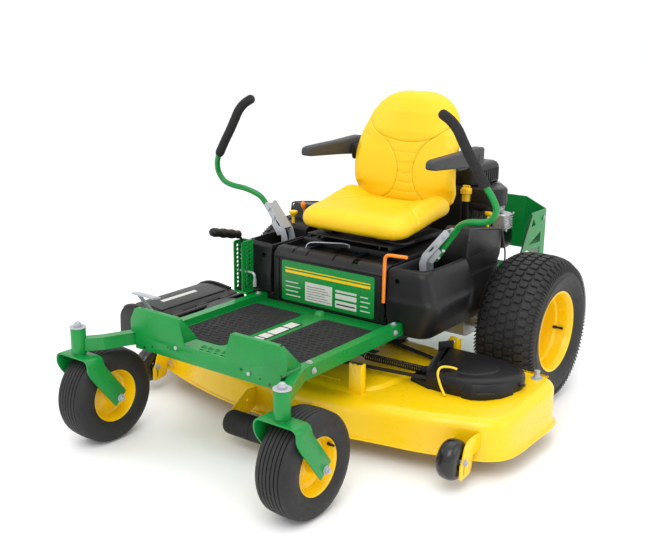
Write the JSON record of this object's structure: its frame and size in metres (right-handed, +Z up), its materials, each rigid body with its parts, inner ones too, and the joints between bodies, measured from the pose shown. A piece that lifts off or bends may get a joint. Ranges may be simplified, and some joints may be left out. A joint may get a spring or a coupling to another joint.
{
  "type": "zero turn mower",
  "caption": "Ride-on zero turn mower with folding control levers, tilting seat, rear engine, mid-mounted mowing deck and side discharge chute.",
  "frame": {"origin": "on the ground, at the middle of the machine's box in plan", "axes": "+X to the machine's left, the machine's front towards -Y, +Z up"},
  "size_m": [1.742, 2.113, 1.134],
  "materials": {
    "green_paint": "gloss green enamel",
    "yellow_paint": "gloss yellow enamel",
    "black_plastic": "satin moulded",
    "black_steel": "satin black",
    "rubber": "matte",
    "tyre_rubber": "matte",
    "zinc_steel": "zinc plated",
    "cast_alloy": "as cast",
    "yellow_vinyl": "smooth vinyl",
    "yellow_plastic": "gloss",
    "orange_plastic": "gloss"
  },
  "bodies": {
    "chassis": {"main_frame": "green_paint", "guard_plate": "green_paint", "floor_pan": "green_paint", "foot_mat_left": "rubber", "foot_mat_right": "rubber", "front_panel": "black_plastic", "side_console_left": "black_plastic", "side_console_right": "black_plastic", "height_sector": "green_paint", "engine_block": "cast_alloy", "valve_cover_left": "cast_alloy", "valve_cover_right": "cast_alloy", "engine_shroud": "black_plastic", "air_cleaner": "black_plastic", "muffler": "black_steel", "engine_guard": "green_paint", "transaxle_left": "cast_alloy", "transaxle_right": "cast_alloy"},
    "engine_shaft": {"engine_shaft": "zinc_steel"},
    "seat_base": {"seat_base": "black_steel"},
    "seat": {"seat_cushion": "yellow_vinyl", "seat_back": "yellow_vinyl"},
    "deck": {"deck_shell": "yellow_paint", "belt_cover_left": "black_plastic", "belt_cover_right": "black_plastic", "deck_belt": "rubber"},
    "front_roller": {"front_roller": "rubber"},
    "discharge_chute": {"discharge_chute": "black_plastic"},
    "height_lever": {"height_lever": "black_plastic"},
    "height_pin": {"height_pin": "zinc_steel"},
    "lift_pedal": {"lift_pedal": "zinc_steel"},
    "levelling_wrench": {"levelling_wrench": "orange_plastic"},
    "blade_switch_knob": {"blade_switch_knob": "yellow_plastic"},
    "throttle_lever": {"throttle_lever": "orange_plastic"},
    "caster_left": {"caster_fork_left": "green_paint"},
    "caster_wheel_left": {"caster_rim_left": "yellow_paint", "caster_tyre_left": "tyre_rubber"},
    "drive_wheel_left": {"drive_rim_left": "yellow_paint", "drive_tyre_left": "tyre_rubber"},
    "lever_base_left": {"lever_base_left": "zinc_steel"},
    "control_lever_left": {"control_lever_left": "green_paint", "lever_grip_left": "rubber"},
    "armrest_left": {"armrest_left": "black_plastic"},
    "gauge_wheel_left": {"gauge_wheel_left": "rubber"},
    "caster_right": {"caster_fork_right": "green_paint"},
    "caster_wheel_right": {"caster_rim_right": "yellow_paint", "caster_tyre_right": "tyre_rubber"},
    "drive_wheel_right": {"drive_rim_right": "yellow_paint", "drive_tyre_right": "tyre_rubber"},
    "lever_base_right": {"lever_base_right": "zinc_steel"},
    "control_lever_right": {"control_lever_right": "green_paint", "lever_grip_right": "rubber"},
    "armrest_right": {"armrest_right": "black_plastic"},
    "gauge_wheel_right": {"gauge_wheel_right": "rubber"},
    "spindle_left": {"spindle_left": "zinc_steel", "blade_left": "black_steel"},
    "spindle_middle": {"spindle_middle": "zinc_steel", "blade_middle": "black_steel"},
    "spindle_right": {"spindle_right": "zinc_steel", "blade_right": "black_steel"}
  },
  "joints": [
    {"name": "engine_shaft_spin", "type": "hinge", "parent": "chassis", "child": "engine_shaft", "pos_m": [0.047, 0.6845, 0.38], "axis": [0, 0, 1], "continuous": true},
    {"name": "caster_swivel_left", "type": "hinge", "parent": "chassis", "child": "caster_left", "pos_m": [0.479, -0.9905, 0.38], "axis": [0, 0, 1], "continuous": true},
    {"name": "caster_spin_left", "type": "hinge", "parent": "caster_left", "child": "caster_wheel_left", "pos_m": [0.479, -0.8915, 0.165], "axis": [1, 0, 0], "continuous": true},
    {"name": "drive_wheel_spin_left", "type": "hinge", "parent": "chassis", "child": "drive_wheel_left", "pos_m": [0.604, 0.3545, 0.281], "axis": [1, 0, 0], "continuous": true},
    {"name": "lever_drive_left", "type": "hinge", "parent": "chassis", "child": "lever_base_left", "pos_m": [0.366, -0.0375, 0.53], "axis": [1, 0, 0], "range_deg": [-12, 20]},
    {"name": "lever_fold_left", "type": "hinge", "parent": "lever_base_left", "child": "control_lever_left", "pos_m": [0.366, -0.0375, 0.53], "axis": [0, -1, 0], "range_deg": [0, 28]},
    {"name": "armrest_flip_left", "type": "hinge", "parent": "seat", "child": "armrest_left", "pos_m": [0.326, 0.3545, 0.9], "axis": [-1, 0, 0], "range_deg": [0, 85]},
    {"name": "gauge_wheel_spin_left", "type": "hinge", "parent": "deck", "child": "gauge_wheel_left", "pos_m": [0.747, -0.4915, 0.1], "axis": [1, 0, 0], "continuous": true},
    {"name": "caster_swivel_right", "type": "hinge", "parent": "chassis", "child": "caster_right", "pos_m": [-0.385, -0.9905, 0.38], "axis": [0, 0, 1], "continuous": true},
    {"name": "caster_spin_right", "type": "hinge", "parent": "caster_right", "child": "caster_wheel_right", "pos_m": [-0.385, -0.8915, 0.165], "axis": [1, 0, 0], "continuous": true},
    {"name": "drive_wheel_spin_right", "type": "hinge", "parent": "chassis", "child": "drive_wheel_right", "pos_m": [-0.51, 0.3545, 0.281], "axis": [1, 0, 0], "continuous": true},
    {"name": "lever_drive_right", "type": "hinge", "parent": "chassis", "child": "lever_base_right", "pos_m": [-0.272, -0.0375, 0.53], "axis": [1, 0, 0], "range_deg": [-12, 20]},
    {"name": "lever_fold_right", "type": "hinge", "parent": "lever_base_right", "child": "control_lever_right", "pos_m": [-0.272, -0.0375, 0.53], "axis": [0, 1, 0], "range_deg": [0, 28]},
    {"name": "armrest_flip_right", "type": "hinge", "parent": "seat", "child": "armrest_right", "pos_m": [-0.232, 0.3545, 0.9], "axis": [-1, 0, 0], "range_deg": [0, 85]},
    {"name": "gauge_wheel_spin_right", "type": "hinge", "parent": "deck", "child": "gauge_wheel_right", "pos_m": [-0.593, -0.4915, 0.1], "axis": [1, 0, 0], "continuous": true},
    {"name": "seat_tilt", "type": "hinge", "parent": "chassis", "child": "seat_base", "pos_m": [0.047, -0.0705, 0.606], "axis": [1, 0, 0], "range_deg": [0, 50]},
    {"name": "seat_slide", "type": "slide", "parent": "seat_base", "child": "seat", "axis": [0, 1, 0], "range_m": [-0.06, 0.05]},
    {"name": "deck_lift", "type": "slide", "parent": "chassis", "child": "deck", "axis": [0, 0, 1], "range_m": [0, 0.038]},
    {"name": "front_roller_spin", "type": "hinge", "parent": "deck", "child": "front_roller", "pos_m": [0.107, -0.6755, 0.086], "axis": [1, 0, 0], "continuous": true},
    {"name": "chute_swing", "type": "hinge", "parent": "deck", "child": "discharge_chute", "pos_m": [-0.625, 0.3545, 0.252], "axis": [0, 1, 0], "range_deg": [0, 75]},
    {"name": "spindle_spin_left", "type": "hinge", "parent": "deck", "child": "spindle_left", "pos_m": [0.587, -0.1855, 0.2], "axis": [0, 0, 1], "continuous": true},
    {"name": "spindle_spin_middle", "type": "hinge", "parent": "deck", "child": "spindle_middle", "pos_m": [0.087, -0.2655, 0.2], "axis": [0, 0, 1], "continuous": true},
    {"name": "spindle_spin_right", "type": "hinge", "parent": "deck", "child": "spindle_right", "pos_m": [-0.413, -0.1855, 0.2], "axis": [0, 0, 1], "continuous": true},
    {"name": "height_lever_turn", "type": "hinge", "parent": "chassis", "child": "height_lever", "pos_m": [-0.318, -0.2515, 0.418], "axis": [1, 0, 0], "range_deg": [0, 16]},
    {"name": "lift_pedal_turn", "type": "hinge", "parent": "chassis", "child": "lift_pedal", "pos_m": [-0.305, -0.7055, 0.372], "axis": [1, 0, 0], "range_deg": [0, 10.5]},
    {"name": "height_pin_pull", "type": "slide", "parent": "chassis", "child": "height_pin", "axis": [1, 0, 0], "range_m": [0, 0.055]},
    {"name": "wrench_lift_out", "type": "slide", "parent": "chassis", "child": "levelling_wrench", "axis": [0, 0, 1], "range_m": [0, 0.15]},
    {"name": "blade_switch_pull", "type": "slide", "parent": "chassis", "child": "blade_switch_knob", "axis": [0, 0, 1], "range_m": [0, 0.01]},
    {"name": "throttle_turn", "type": "hinge", "parent": "chassis", "child": "throttle_lever", "pos_m": [-0.275, 0.0815, 0.631], "axis": [1, 0, 0], "range_deg": [-8, 20]}
  ],
  "couplings": [
    {"joint": "spindle_spin_left", "follows": "engine_shaft_spin", "ratio": 1},
    {"joint": "spindle_spin_middle", "follows": "engine_shaft_spin", "ratio": 1},
    {"joint": "spindle_spin_right", "follows": "engine_shaft_spin", "ratio": 1},
    {"joint": "height_lever_turn", "follows": "deck_lift", "rad_per_m": 6.8895},
    {"joint": "lift_pedal_turn", "follows": "deck_lift", "rad_per_m": 4.593}
  ]
}
